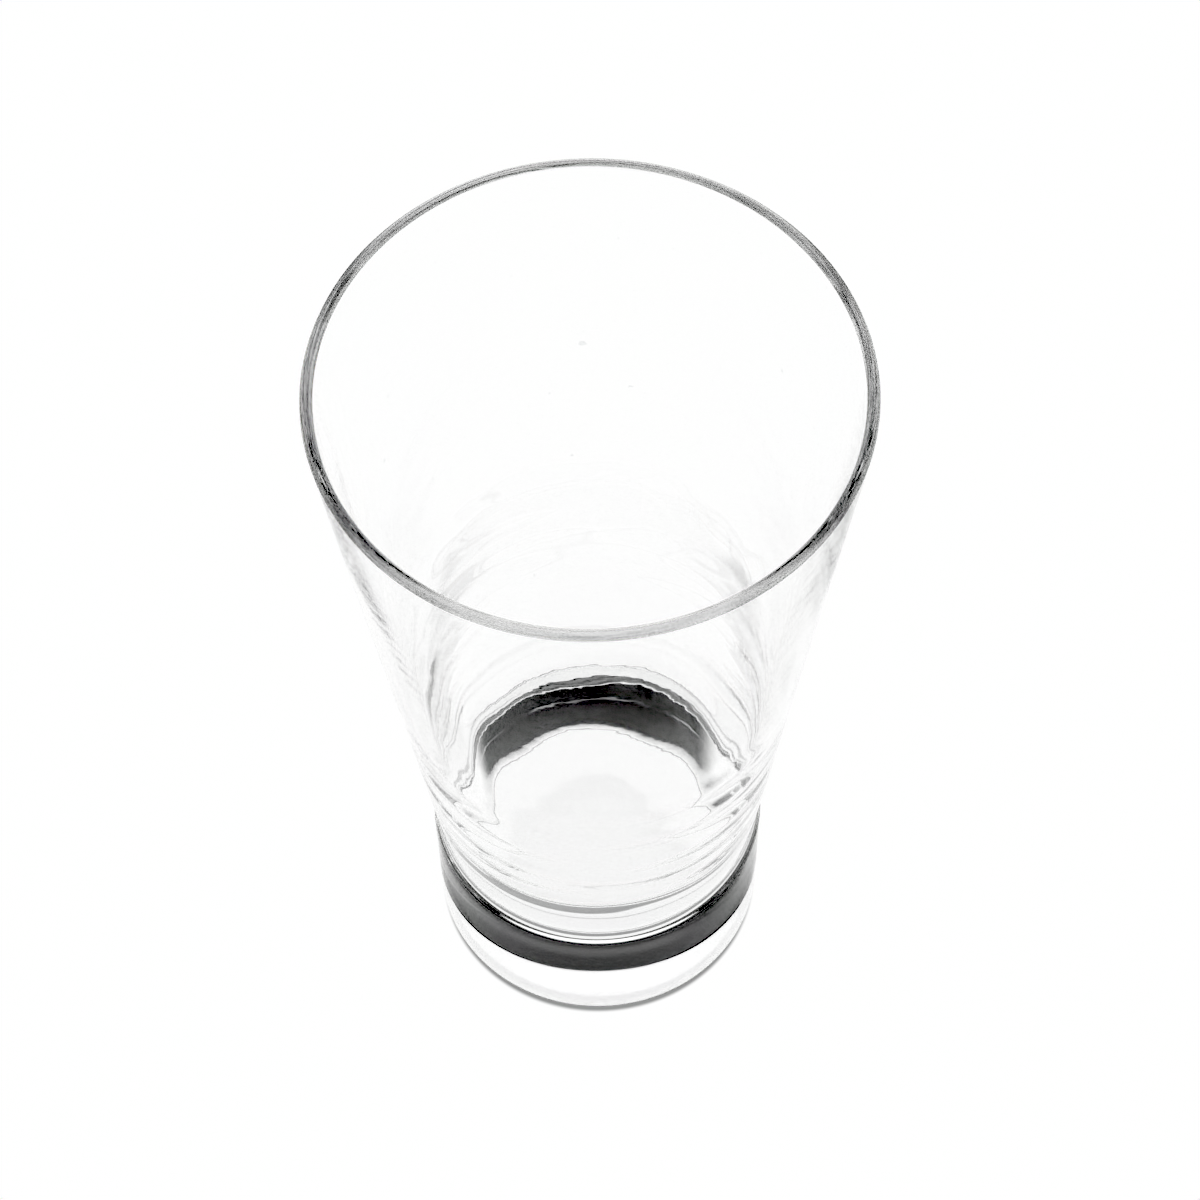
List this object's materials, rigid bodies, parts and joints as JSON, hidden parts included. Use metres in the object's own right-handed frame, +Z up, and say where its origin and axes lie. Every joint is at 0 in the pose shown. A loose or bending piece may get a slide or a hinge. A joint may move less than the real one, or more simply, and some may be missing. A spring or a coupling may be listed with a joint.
{
  "type": "mixing glass",
  "caption": "Tall conical bar mixing glass in clear glass: thin tapering wall, rounded rim, domed inner floor and a thick solid foot with a slight step, moulded in one piece.",
  "frame": {"origin": "centre of the base, on the plane of the ring that the glass stands on", "axes": "+Z up along the glass's axis of revolution, from the foot to the rim"},
  "size_m": [0.089, 0.089, 0.152],
  "materials": {
    "clear_glass": "fire-polished, clear and colourless"
  },
  "bodies": {
    "root": {"glass_body": "clear_glass"}
  },
  "joints": []
}
